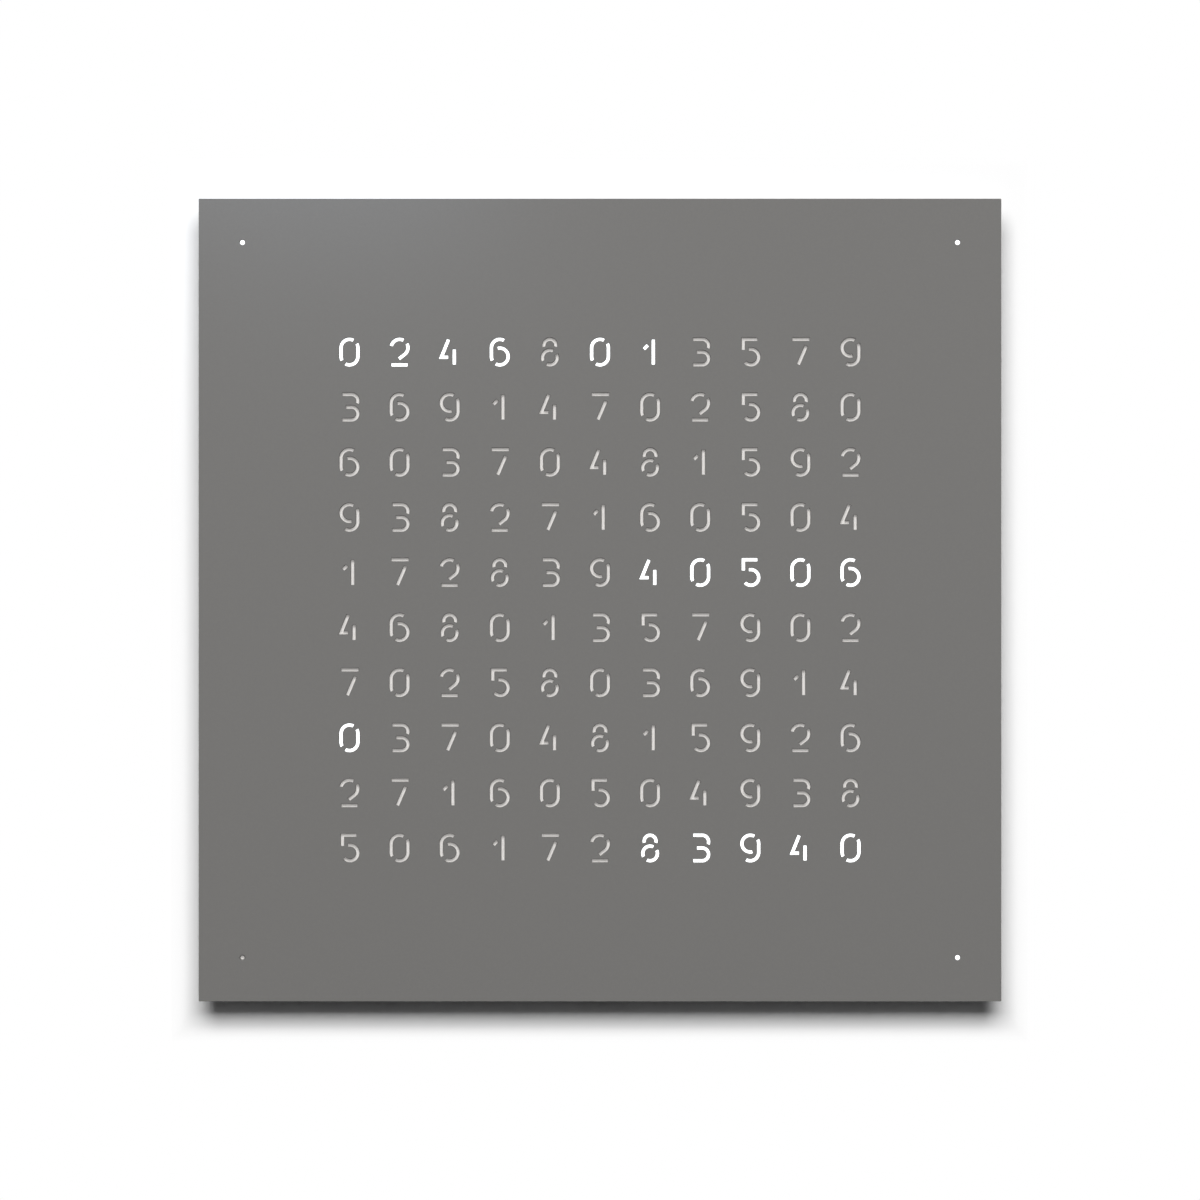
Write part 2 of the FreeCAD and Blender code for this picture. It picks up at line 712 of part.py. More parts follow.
def led_board(sign):
    """Half of the LED field: sign is 1 for the upper board and -1 for the lower one."""
    board = box(-HALF_BOARD_X, HALF_BOARD_X, BOARD_FRONT_Y, BOARD_BACK_Y,
                sign * BOARD_SPLIT / 2, sign * HALF_BOARD_Z)
    holes = []
    for x, z in board_hole_places():
        holes.append(post(x, z, BOARD_FRONT_Y, BOARD_BACK_Y, BOARD_SCREW + 2 * FIT))
    return drilled(board, holes)


def led(x, z):
    """A square package with a round window in its front."""
    half = LED_SIDE / 2
    package = box(x - half, x + half, BOARD_FRONT_Y - LED_HEIGHT, BOARD_FRONT_Y, z - half, z + half)
    cup = Part.makeCone(LED_LENS / 2, LED_LENS / 3, LED_HEIGHT / 3,
                        point(x, z, BOARD_FRONT_Y - LED_HEIGHT), FreeCAD.Vector(0, 1, 0))
    return package.cut(cup)


def leds(sign):
    return [led(x, z) for _, _, x, z in cell_centres() if z * sign > 0]


def corner_led_boards():
    boards = []
    half = DOT_BOARD_WIDTH / 2
    for x, z in four_corners(DOT_AT, DOT_AT):
        inward = -math.copysign(1, x)
        start = x - inward * half
        board = box(start, start + inward * DOT_BOARD_LENGTH, BOARD_FRONT_Y, BOARD_BACK_Y,
                    z - half, z + half)
        hole = post(x + inward * DOT_SCREW_OFFSET, z, BOARD_FRONT_Y, BOARD_BACK_Y, BOARD_SCREW + 2 * FIT)
        boards.append(board.cut(hole))
    return boards


def board_standoffs():
    standoffs = []
    for x, z in board_hole_places() + dot_screw_places():
        bar = hexagon(x, z, BOARD_BACK_Y, PANEL_Y, STANDOFF_WIDTH)
        standoffs.append(bar.cut(post(x, z, BOARD_BACK_Y, PANEL_Y, BOARD_SCREW + 2 * FIT)))
    return standoffs


def pan_screw(x, z, seat_y, end_y):
    """A cross-recessed screw whose head sits on the plane seat_y, facing the front."""
    top = seat_y - BOARD_HEAD_HEIGHT
    shank = post(x, z, seat_y, end_y, BOARD_SCREW)
    head = post(x, z, top, seat_y, BOARD_SCREW_HEAD)
    rim = [edge for edge in head.Edges if edge.BoundBox.YMax < top + PICK]
    head = head.makeFillet(BOARD_HEAD_HEIGHT / 2, rim)
    wing = BOARD_SCREW_HEAD / 4
    slit = BOARD_SCREW_HEAD / 16
    cross = [box(x - wing, x + wing, top, top + BOARD_HEAD_HEIGHT / 2, z - slit, z + slit),
             box(x - slit, x + slit, top, top + BOARD_HEAD_HEIGHT / 2, z - wing, z + wing)]
    return joined([shank, head]).cut(joined(cross))


def led_board_screws():
    screws = []
    for x, z in board_hole_places():
        screws.append(pan_screw(x, z, BOARD_FRONT_Y - LUG_THICKNESS, BACK_Y - FIT))
    for x, z in dot_screw_places():
        screws.append(pan_screw(x, z, BOARD_FRONT_Y, BACK_Y - FIT))
    return screws


def control_board():
    """An L-shaped board: its arm carries the inlet above the trough."""
    board = box(CONTROL_LEFT, CONTROL_RIGHT, CONTROL_FRONT_Y, CONTROL_BACK_Y, CONTROL_BOTTOM, CONTROL_TOP)
    clear_x = JACK_X - TROUGH_WIDTH / 2 - TROUGH_WALL - TROUGH_FLANGE - BACK_CLEARANCE
    cutters = [box(clear_x, CONTROL_RIGHT, CONTROL_FRONT_Y, CONTROL_BACK_Y, CONTROL_BOTTOM,
                   TROUGH_TOP + TROUGH_WALL + BACK_CLEARANCE)]
    for x, z in control_hole_places():
        cutters.append(post(x, z, CONTROL_FRONT_Y, CONTROL_BACK_Y, BOARD_SCREW + 2 * FIT))
    return drilled(board, cutters)


def control_board_screws():
    return [pan_screw(x, z, CONTROL_FRONT_Y, BACK_Y - BACK_HEAD_HEIGHT - FIT)
            for x, z in control_hole_places()]


def jack_bottom():
    return TROUGH_TOP + BACK_CLEARANCE


def power_inlet():
    bottom = jack_bottom()
    body = box(JACK_X - JACK_WIDTH / 2, JACK_X + JACK_WIDTH / 2, CONTROL_FRONT_Y,
               CONTROL_FRONT_Y - JACK_HEIGHT, bottom, bottom + JACK_LENGTH)
    return body.cut(rod(JACK_X, JACK_Y, bottom, bottom + JACK_BORE_DEPTH, JACK_BORE))


def inlet_pin():
    bottom = jack_bottom()
    return rod(JACK_X, JACK_Y, bottom + JACK_PIN_RECESS, bottom + JACK_BORE_DEPTH, JACK_PIN)


def cable_trough():
    """A channel let into the back, open to the wall and downwards, with flanges on the panel."""
    half = TROUGH_WIDTH / 2
    outer = half + TROUGH_WALL
    bottom = -HALF_INNER
    shell = box(JACK_X - outer, JACK_X + outer, TROUGH_Y - TROUGH_WALL, PANEL_Y, bottom,
                TROUGH_TOP + TROUGH_WALL)
    flange = box(JACK_X - outer - TROUGH_FLANGE, JACK_X + outer + TROUGH_FLANGE,
                 PANEL_Y - TROUGH_WALL, PANEL_Y, bottom, TROUGH_TOP + TROUGH_WALL)
    channel = box(JACK_X - half, JACK_X + half, TROUGH_Y, PANEL_Y, bottom, TROUGH_TOP)
    window = box(JACK_X - JACK_WIDTH / 2 - BACK_CLEARANCE, JACK_X + JACK_WIDTH / 2 + BACK_CLEARANCE,
                 CONTROL_BACK_Y, CONTROL_FRONT_Y - JACK_HEIGHT - BACK_CLEARANCE, TROUGH_TOP,
                 TROUGH_TOP + TROUGH_WALL)
    return joined([shell, flange]).cut(channel).cut(window)


def cell_z():
    return (CONTROL_BOTTOM + CONTROL_TOP) / 2


def coin_cell_holder():
    outer = CELL_DIAMETER + 2 * HOLDER_WALL
    height = HOLDER_FLOOR + CELL_THICKNESS
    cup = post(CELL_X, cell_z(), CONTROL_FRONT_Y, CONTROL_FRONT_Y - height, outer)
    hollow = post(CELL_X, cell_z(), CONTROL_FRONT_Y - HOLDER_FLOOR, CONTROL_FRONT_Y - height,
                  CELL_DIAMETER + 2 * FIT)
    finger = box(CELL_X - LUG_SIZE / 2, CELL_X + LUG_SIZE / 2, CONTROL_FRONT_Y - HOLDER_FLOOR,
                 CONTROL_FRONT_Y - height, cell_z(), cell_z() + outer)
    return cup.cut(hollow).cut(finger)


def coin_cell():
    seat = CONTROL_FRONT_Y - HOLDER_FLOOR
    cell = post(CELL_X, cell_z(), seat, seat - CELL_THICKNESS, CELL_DIAMETER)
    rim = [edge for edge in cell.Edges if edge.BoundBox.YMax < seat - CELL_THICKNESS + PICK]
    return cell.makeChamfer(CELL_EDGE, rim)


def on_control(x, z, width, tall, height):
    return box(x - width / 2, x + width / 2, CONTROL_FRONT_Y, CONTROL_FRONT_Y - height,
               z - tall / 2, z + tall / 2)


def microcontroller():
    body = on_control(CHIP_X, cell_z(), CHIP_SIDE, CHIP_SIDE, CHIP_HEIGHT)
    upright = [edge for edge in body.Edges if edge.BoundBox.YLength > CHIP_HEIGHT / 2]
    return body.makeChamfer(CHIP_HEIGHT / 3, upright)


def clock_chip():
    return on_control(CLOCK_CHIP_X, cell_z() + CLOCK_CHIP_WIDTH, CLOCK_CHIP_WIDTH, CLOCK_CHIP_WIDTH,
                      CHIP_HEIGHT)


def clock_crystal():
    """A small can lying on the board."""
    z = cell_z() - CLOCK_CHIP_WIDTH
    return Part.makeCylinder(CRYSTAL_DIAMETER / 2, CRYSTAL_LENGTH,
                             point(CRYSTAL_X - CRYSTAL_LENGTH / 2, z,
                                   CONTROL_FRONT_Y - CRYSTAL_DIAMETER / 2),
                             FreeCAD.Vector(1, 0, 0))


def capacitors():
    """Metal cans on square bases."""
    cans = []
    for x in CAPACITOR_XS:
        z = CONTROL_TOP - CAPACITOR_DIAMETER
        base = on_control(x, z, CAPACITOR_DIAMETER, CAPACITOR_DIAMETER, CAPACITOR_BASE)
        can = post(x, z, CONTROL_FRONT_Y, CONTROL_FRONT_Y - CAPACITOR_HEIGHT, CAPACITOR_DIAMETER)
        cans.append(joined([base, can]))
    return cans


def voltage_regulator():
    z = CONTROL_TOP - CAPACITOR_DIAMETER
    body = on_control(REGULATOR_X, z, REGULATOR_WIDTH, REGULATOR_WIDTH, REGULATOR_HEIGHT)
    tab = on_control(REGULATOR_X, z + REGULATOR_WIDTH / 2, REGULATOR_TAB_WIDTH, REGULATOR_TAB_LENGTH,
                     REGULATOR_HEIGHT / 2)
    return joined([body, tab])


def led_drivers():
    chips = []
    for x in DRIVER_XS:
        for z in (-PITCH_Z, PITCH_Z):
            chips.append(box(x - DRIVER_WIDTH / 2, x + DRIVER_WIDTH / 2, BOARD_BACK_Y,
                             BOARD_BACK_Y + DRIVER_HEIGHT, z - DRIVER_LENGTH / 2,
                             z + DRIVER_LENGTH / 2))
    return chips


def connector(x, z, seat_y, y_sign):
    half = CONNECTOR_WIDTH / 2
    return box(x - half, x + half, seat_y, seat_y + y_sign * CONNECTOR_HEIGHT,
               z - CONNECTOR_LENGTH / 2, z + CONNECTOR_LENGTH / 2)


def ribbon_ends():
    """Z of the connector centres: control board, lower board foot, and the two of the link."""
    low = CONTROL_TOP - CONNECTOR_LENGTH
    foot = -HALF_BOARD_Z + 2 * CONNECTOR_LENGTH
    return low, foot, -2 * CONNECTOR_LENGTH, 2 * CONNECTOR_LENGTH


def ribbon_connectors():
    low, foot, link_low, link_high = ribbon_ends()
    bodies = [connector(RIBBON_X, low, CONTROL_FRONT_Y, -1)]
    for z in (foot, link_low, link_high):
        bodies.append(connector(RIBBON_X, z, BOARD_BACK_Y, 1))
    return bodies


def ribbon(z0, z1):
    """A flat cable from the top of one connector to the foot of the next."""
    half = RIBBON_WIDTH / 2
    return box(RIBBON_X - half, RIBBON_X + half, RIBBON_Y - RIBBON_THICKNESS / 2,
               RIBBON_Y + RIBBON_THICKNESS / 2, z0 + CONNECTOR_LENGTH / 2, z1 - CONNECTOR_LENGTH / 2)


def corner_cable_run():
    """The bend of one cable: socket on the LED board, corner, socket on the corner board."""
    start = HALF_BOARD_X
    turn = DOT_AT - (TUBE_OUTER / 2 + DOT_SCREW_OFFSET - BOARD_SCREW_HEAD / 2) / 2
    top = DOT_AT - DOT_BOARD_WIDTH / 2
    return start, turn, top


def corner_led_cables():
    start, turn, top = corner_cable_run()
    y = BOARD_FRONT_Y - SOCKET_HEIGHT / 2
    short = min(turn - start, top - CABLE_START_Z)
    radius = CABLE_TURN_SHARE * short
    cables = []
    for sx, sz in four_corners(1, 1):
        first = point(sx * start, sz * CABLE_START_Z, y)
        bend_in = point(sx * (turn - radius), sz * CABLE_START_Z, y)
        bend_out = point(sx * turn, sz * (CABLE_START_Z + radius), y)
        offset = radius * (1 - math.cos(math.radians(45)))
        middle = point(sx * (turn - offset), sz * (CABLE_START_Z + offset), y)
        last = point(sx * turn, sz * top, y)
        path = Part.Wire([Part.LineSegment(first, bend_in).toShape(),
                          Part.Arc(bend_in, middle, bend_out).toShape(),
                          Part.LineSegment(bend_out, last).toShape()])
        ring = Part.Circle(first, FreeCAD.Vector(sx, 0, 0), CABLE_DIAMETER / 2)
        cables.append(path.makePipeShell([Part.Wire(ring.toShape())], True, False))
    return cables


def cable_sockets():
    """One on the edge of the LED board and one on the corner board for each cable."""
    start, turn, top = corner_cable_run()
    front = BOARD_FRONT_Y - SOCKET_HEIGHT
    half = SOCKET_WIDTH / 2
    narrow = SOCKET_WIDTH / 4
    bodies = []
    for sx, sz in four_corners(1, 1):
        bodies.append(box(sx * (start - SOCKET_LENGTH), sx * start, front, BOARD_FRONT_Y,
                          sz * (CABLE_START_Z - half), sz * (CABLE_START_Z + half)))
        bodies.append(box(sx * (turn - narrow), sx * (turn + narrow), front, BOARD_FRONT_Y,
                          sz * top, sz * (top + SOCKET_LENGTH)))
    return bodies


def switch_bodies():
    bodies = []
    bore = PLUNGER_DIAMETER + 2 * PLUNGER_CLEARANCE
    for x in button_xs():
        body = on_control(x, CONTROL_BOTTOM + SWITCH_SIDE / 2, SWITCH_SIDE, SWITCH_SIDE, SWITCH_HEIGHT)
        bodies.append(body.cut(rod(x, SWITCH_Y, CONTROL_BOTTOM, CONTROL_BOTTOM + SWITCH_BORE_DEPTH, bore)))
    return bodies


def plunger(x):
    inner_end = CONTROL_BOTTOM + SWITCH_BORE_DEPTH - BUTTON_TRAVEL - PLUNGER_END_GAP
    return rod(x, SWITCH_Y, CONTROL_BOTTOM - PLUNGER_PROUD, inner_end, PLUNGER_DIAMETER)


def button_cap(x):
    """A round cap with a collar that keeps it behind the wall."""
    tip = -HALF_BODY - BUTTON_PROUD
    shaft = rod(x, SWITCH_Y, tip, CONTROL_BOTTOM - PLUNGER_PROUD, BUTTON_DIAMETER)
    rim = [edge for edge in shaft.Edges if edge.BoundBox.ZMax < tip + PICK]
    shaft = shaft.makeFillet(BUTTON_PROUD / 2, rim)
    collar_z = -HALF_INNER + BUTTON_CLEARANCE
    collar = rod(x, SWITCH_Y, collar_z, collar_z + BUTTON_FLANGE_THICKNESS, BUTTON_FLANGE)
    return joined([shaft, collar])


def light_sensor():
    return on_control(SENSOR_X, CONTROL_BOTTOM + SENSOR_SIDE / 2, SENSOR_SIDE, SENSOR_SIDE, SENSOR_HEIGHT)


def sensor_window():
    """A clear plug in the lower wall, its collar inside."""
    stem = rod(SENSOR_X, SWITCH_Y, -HALF_BODY, CONTROL_BOTTOM - WINDOW_GAP, WINDOW_DIAMETER)
    collar = rod(SENSOR_X, SWITCH_Y, -HALF_INNER, -HALF_INNER + BUTTON_FLANGE_THICKNESS, WINDOW_HEAD)
    return joined([stem, collar])


def save(name, shape):
    if isinstance(shape, list):
        shape = Part.makeCompound(shape)
    shape.exportStep(os.path.join("parts", name + ".step"))


def main():
    os.makedirs("parts", exist_ok=True)
    save("front_cover", front_cover())
    save("cover_studs", cover_studs())
    save("housing_frame", housing_frame())
    save("cover_magnets", magnet_bars(0))
    save("back_panel", back_panel())
    save("back_panel_screws", back_panel_screws())
    for side, x in zip(("left", "right"), hanger_xs()):
        save("keyhole_hanger_" + side, hanger(x))
    save("hanger_rivets", hanger_rivets())
    save("wall_pads", wall_pads())
    save("diffuser_sheet", diffuser_sheet())
    save("light_grid", light_grid())
    save("corner_light_tubes", light_tubes())
    for side, sign in (("upper", 1), ("lower", -1)):
        save("led_board_" + side, led_board(sign))
        save("leds_" + side, leds(sign))
    save("corner_led_boards", corner_led_boards())
    save("corner_leds", [led(x, z) for x, z in four_corners(DOT_AT, DOT_AT)])
    save("board_standoffs", board_standoffs())
    save("led_board_screws", led_board_screws())
    save("led_driver_chips", led_drivers())
    low, foot, link_low, link_high = ribbon_ends()
    save("ribbon_to_control", ribbon(low, foot))
    save("ribbon_between_boards", ribbon(link_low, link_high))
    save("ribbon_connectors", ribbon_connectors())
    save("corner_led_cables", corner_led_cables())
    save("cable_sockets", cable_sockets())
    save("control_board", control_board())
    save("control_board_screws", control_board_screws())
    save("microcontroller", microcontroller())
    save("clock_chip", clock_chip())
    save("clock_crystal", clock_crystal())
    save("capacitors", capacitors())
    save("voltage_regulator", voltage_regulator())
    save("coin_cell_holder", coin_cell_holder())
    save("coin_cell", coin_cell())
    save("power_inlet", power_inlet())
    save("inlet_pin", inlet_pin())
    save("cable_trough", cable_trough())
    save("light_sensor", light_sensor())
    save("sensor_window", sensor_window())
    save("switch_bodies", switch_bodies())
    for number, x in enumerate(button_xs(), 1):
        save("button_cap_%d" % number, button_cap(x))
        save("switch_plunger_%d" % number, plunger(x))


main()
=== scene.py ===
import json
import math

import bmesh
import bpy
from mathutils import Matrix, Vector, geometry

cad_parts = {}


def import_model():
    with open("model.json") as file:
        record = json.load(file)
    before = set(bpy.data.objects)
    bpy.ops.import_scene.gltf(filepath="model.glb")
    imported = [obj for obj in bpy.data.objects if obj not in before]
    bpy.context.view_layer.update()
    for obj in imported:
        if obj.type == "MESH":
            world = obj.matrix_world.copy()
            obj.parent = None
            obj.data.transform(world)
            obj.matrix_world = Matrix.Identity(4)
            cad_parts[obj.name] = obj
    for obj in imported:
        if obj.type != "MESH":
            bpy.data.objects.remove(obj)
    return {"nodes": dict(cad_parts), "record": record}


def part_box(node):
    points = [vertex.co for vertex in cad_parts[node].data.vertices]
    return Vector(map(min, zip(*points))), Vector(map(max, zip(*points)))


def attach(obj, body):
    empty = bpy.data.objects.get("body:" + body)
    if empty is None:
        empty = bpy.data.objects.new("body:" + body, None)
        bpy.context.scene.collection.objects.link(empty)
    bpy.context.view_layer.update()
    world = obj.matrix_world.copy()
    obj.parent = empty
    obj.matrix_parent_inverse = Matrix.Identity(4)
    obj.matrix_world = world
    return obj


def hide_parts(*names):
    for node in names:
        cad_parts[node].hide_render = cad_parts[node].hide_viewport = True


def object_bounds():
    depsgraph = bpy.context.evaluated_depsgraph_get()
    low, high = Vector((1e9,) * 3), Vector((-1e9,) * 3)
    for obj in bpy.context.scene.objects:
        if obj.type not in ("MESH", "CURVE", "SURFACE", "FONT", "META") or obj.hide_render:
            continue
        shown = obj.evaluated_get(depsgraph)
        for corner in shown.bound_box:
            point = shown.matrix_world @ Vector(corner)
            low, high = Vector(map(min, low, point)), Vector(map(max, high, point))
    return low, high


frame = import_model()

cad_low, cad_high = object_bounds()
nodes = frame["nodes"]
slots = {entry["node"]: entry["material_slot"] for entry in frame["record"]["subparts"]}

# Lengths are in metres. X points right, Y into the wall and Z up.
MM = 0.001

# Field of characters and corner dots
COLUMNS = 11
ROWS = 10
PITCH_X = 28.1 * MM
PITCH_Z = 30.9 * MM
DIGIT_HALF_WIDTH = 4.7 * MM
DIGIT_HALF_HEIGHT = 7.15 * MM
STROKE_FRONT = 2.4 * MM
STROKE_BACK = 1.7 * MM
BRIDGE = 1.7 * MM
BAR_TRIM = 0.6 * MM
DOT_INSET = 24.5 * MM
DOT_REACH = cad_high.x - DOT_INSET
DOT_FRONT = 3.4 * MM
DOT_BACK = 2.6 * MM
CORNERS = ((-1, -1), (-1, 1), (1, -1), (1, 1))
UNLIT_DOT = (-1, -1)
LIT_CELLS = (  # row, columns
    (0, (0, 1, 2, 3, 5, 6)),
    (4, (6, 7, 8, 9, 10)),
    (7, (0,)),
    (9, (6, 7, 8, 9, 10)),
)

# Sheets
COVER_THICKNESS = 2.0 * MM
COAT_EDGE = 0.2 * MM
SLOT_LIP = 0.2 * MM
SLOT_LIP_DEPTH = 0.25 * MM
LIP_STEPS = 3
SHEET_CORNER = 0.4 * MM
DIFFUSER_EDGE = 0.1 * MM
GRID_WALL = 1.5 * MM
WELL_CORNER = 2.0 * MM
TUBE_BORE = 10.6 * MM
ARC_STEP = 6.0  # degrees
CIRCLE_SIDES = 40
CORNER_STEPS = 5
SAME_POINT = 1e-6
FILL_TOLERANCE = 1e-7

# Shading and rounded edges
SHARP_ANGLE = math.radians(35)
FLAT_AREA = 4e-6  # square metres
FLAT_NORMAL = 0.99999
COPLANAR_ANGLE = math.radians(0.5)
ROUNDED_ANGLE = math.radians(40)
ROUNDING_STEPS = 3
ROUNDED_EDGES = {
    "housing_frame": 0.35 * MM,
    "back_panel": 0.25 * MM,
    "cable_trough": 0.2 * MM,
    "keyhole_hanger_left": 0.15 * MM,
    "keyhole_hanger_right": 0.15 * MM,
    "back_panel_screws": 0.1 * MM,
    "hanger_rivets": 0.2 * MM,
    "power_inlet": 0.2 * MM,
    "cover_magnets": 0.25 * MM,
}

# Stage and camera. The wall takes shadows out to SHADOW_REACH below the cover and is plain white
# from WHITE_FROM on. Beside the cover both come SIDE_SHIFT sooner.
WALL_CLEARANCE = 0.2 * MM
SHADOW_REACH = 15 * MM
WHITE_FROM = 24 * MM
SIDE_SHIFT = 7 * MM
STAGE_HALF = 3.0
FLOOR_Z = -1.5
WORLD_SEEN = 1.0
WORLD_AMBIENT = 0.012
FRAME_WIDTH = 672.7 * MM
CAMERA_DISTANCE = 4.0
CLIP_NEAR = 0.05
CLIP_FAR = 50.0
SENSOR = 36.0  # millimetres, as Blender has it

# Flat lights: name, place, aim, width, height, radiance and colour
WHITE = (1, 1, 1)
COOL = (0.70, 0.82, 1.0)
MIDDLE = (0, 0, 0)
LIGHTS = (
    # The key fills the directions that the shadow below and beside the clock runs out in.
    ("key", (0, -8.4, 5.0), (0, -4.8, 0), 7.8, 5.4, 9.2, WHITE),
    # A weak one under it makes the shadow darkest close to the edge.
    ("low", (0, -8.4, 1.85), MIDDLE, 7.8, 2.3, 0.66, WHITE),
    # A small strip near the upper left gives the soft sheen there.
    ("sheen", (-0.165, -0.12, 0.250), (-0.165, 0, 0.240), 0.20, 0.03, 2.3, COOL),
    # These stand behind the wall plane and light the sides and the back.
    ("back_left", (-2.0, 2.2, 1.2), MIDDLE, 1.6, 1.6, 7.5, WHITE),
    ("back_right", (2.0, 2.2, 0.6), MIDDLE, 1.6, 1.6, 5.0, WHITE),
    ("under", (0.4, 0.6, -1.4), (0, 0, -0.1), 1.2, 1.2, 3.5, WHITE),
    ("side_left", (-2.2, 0.3, 0.2), MIDDLE, 1.2, 1.2, 4.4, WHITE),
    ("side_right", (2.2, 0.3, 0.2), MIDDLE, 1.2, 1.2, 4.4, WHITE),
    ("top", (0, 0.4, 2.2), MIDDLE, 1.4, 1.0, 4.5, WHITE),
)

# Colours that more than one material has, a painted glow all over the opal sheet that lightens the
# shade in its unlit strokes, and the light of its lit cells
OPAL = (0.50, 0.485, 0.47)
PAINTED_SHEET_GLOW = ((1.0, 0.965, 0.94), 0.26)
CELL_LIGHT = ((0.95, 0.975, 1.0), 1.8)


# Materials. Sizes are those of the features, and depths those of the relief, in metres.
class Surface:
    """A node material on object coordinates, so that its grain has a real size."""

    def __init__(self, name, colour, roughness, metallic=0.0, specular=0.5):
        self.material = bpy.data.materials.new(name)
        self.material.use_nodes = True
        self.tree = self.material.node_tree
        self.shader = self.tree.nodes["Principled BSDF"]
        self.shader.inputs["Metallic"].default_value = metallic
        self.shader.inputs["Specular IOR Level"].default_value = specular
        self.shader.inputs["Base Color"].default_value = (*colour, 1)
        self.shader.inputs["Roughness"].default_value = roughness
        self.place = self.add("ShaderNodeTexCoord").outputs["Object"]
        self.colour = colour
        self.roughness = roughness
        self.normal = None

    def add(self, kind, **settings):
        node = self.tree.nodes.new(kind)
        for name, value in settings.items():
            setattr(node, name, value)
        return node

    def join(self, output, socket):
        self.tree.links.new(output, socket)

    def noise(self, size, detail, stretch):
        mapping = self.add("ShaderNodeMapping")
        mapping.inputs["Scale"].default_value = [1 / (size * s) for s in stretch]
        self.join(self.place, mapping.inputs["Vector"])
        noise = self.add("ShaderNodeTexNoise")
        noise.inputs["Scale"].default_value = 1.0
        noise.inputs["Detail"].default_value = detail
        self.join(mapping.outputs["Vector"], noise.inputs["Vector"])
        return noise.outputs["Fac"]

    def spread(self, value, low, high):
        """The middle range of a noise, where most of it lies, stretched to low and high."""
        spread = self.add("ShaderNodeMapRange")
        spread.inputs["From Min"].default_value = 0.3
        spread.inputs["From Max"].default_value = 0.7
        spread.inputs["To Min"].default_value = low
        spread.inputs["To Max"].default_value = high
        self.join(value, spread.inputs["Value"])
        return spread.outputs["Result"]

    def mottle(self, size, amount, tint=(1, 1, 1), detail=3.0, stretch=(1, 1, 1)):
        """Lighter and darker patches of the base colour. The tint is on the lighter ones."""
        mix = self.add("ShaderNodeMix", data_type="RGBA")
        light = [min(1.0, c * (1 + amount) * t) for c, t in zip(self.colour, tint)]
        dark = [c * (1 - amount) for c in self.colour]
        mix.inputs["A"].default_value = (*dark, 1)
        mix.inputs["B"].default_value = (*light, 1)
        self.join(self.spread(self.noise(size, detail, stretch), 0, 1), mix.inputs["Factor"])
        self.join(mix.outputs["Result"], self.shader.inputs["Base Color"])
        return self

    def uneven_gloss(self, size, amount, detail=3.0, stretch=(1, 1, 1)):
        low = self.roughness - amount
        high = min(1.0, self.roughness + amount)
        gloss = self.spread(self.noise(size, detail, stretch), low, high)
        self.join(gloss, self.shader.inputs["Roughness"])
        return self

    def bump(self, size, depth, detail=2.0, stretch=(1, 1, 1)):
        """Relief over any relief before it."""
        bump = self.add("ShaderNodeBump")
        bump.inputs["Strength"].default_value = 1.0
        bump.inputs["Distance"].default_value = depth
        self.join(self.noise(size, detail, stretch), bump.inputs["Height"])
        if self.normal:
            self.join(self.normal, bump.inputs["Normal"])
        self.normal = bump.outputs["Normal"]
        self.join(self.normal, self.shader.inputs["Normal"])
        return self

    def glow(self, colour, strength):
        self.shader.inputs["Emission Color"].default_value = (*colour, 1)
        self.shader.inputs["Emission Strength"].default_value = strength


def powder_coat(name, colour):
    coat = Surface(name, colour, 0.55)
    coat.mottle(1.3 * MM, 0.02, detail=4.0).uneven_gloss(1.0 * MM, 0.06)
    coat.bump(2.6 * MM, 0.014 * MM, detail=1.0).bump(1.0 * MM, 0.014 * MM, detail=4.0)
    return coat.material


def moulded(name, colour, roughness, grain=0.5 * MM, depth=0.01 * MM):
    plastic = Surface(name, colour, roughness)
    plastic.mottle(9 * MM, 0.025).uneven_gloss(14 * MM, 0.025)
    plastic.bump(grain, depth, detail=3.0)
    return plastic.material


def brushed(name, colour, roughness, stretch=(30, 1, 1)):
    metal = Surface(name, colour, roughness, metallic=1.0)
    metal.mottle(0.5 * MM, 0.10, stretch=stretch)
    metal.uneven_gloss(0.3 * MM, 0.08, stretch=stretch)
    metal.bump(0.25 * MM, 0.003 * MM, stretch=stretch)
    return metal.material


def galvanised(name, colour):
    zinc = Surface(name, colour, 0.38, metallic=1.0)
    zinc.mottle(4 * MM, 0.12, tint=(0.98, 1.0, 1.03), detail=1.0)
    zinc.uneven_gloss(3 * MM, 0.10).bump(1.2 * MM, 0.006 * MM)
    return zinc.material


def rubber(name, colour):
    skin = Surface(name, colour, 0.82, specular=0.3)
    skin.mottle(3 * MM, 0.15).uneven_gloss(2 * MM, 0.08).bump(0.3 * MM, 0.015 * MM)
    return skin.material


def opal(name, colour, light):
    sheet = Surface(name, colour, 0.42)
    sheet.mottle(6 * MM, 0.012).bump(0.6 * MM, 0.004 * MM)
    sheet.shader.inputs["Subsurface Weight"].default_value = 0.6
    sheet.shader.inputs["Subsurface Radius"].default_value = (1.2 * MM, 1.2 * MM, 1.3 * MM)
    # The glow is the light of the lit cells, or on the unlit sheet a painted glow.
    sheet.glow(*light)
    return sheet.material


def board(name, colour):
    mask = Surface(name, colour, 0.36)
    mask.mottle(7 * MM, 0.07).uneven_gloss(5 * MM, 0.06).bump(0.5 * MM, 0.006 * MM)
    mask.shader.inputs["Coat Weight"].default_value = 0.2
    return mask.material


def clear(name, colour):
    window = Surface(name, colour, 0.08)
    window.shader.inputs["Transmission Weight"].default_value = 0.9
    window.uneven_gloss(4 * MM, 0.03).bump(2 * MM, 0.003 * MM)
    return window.material


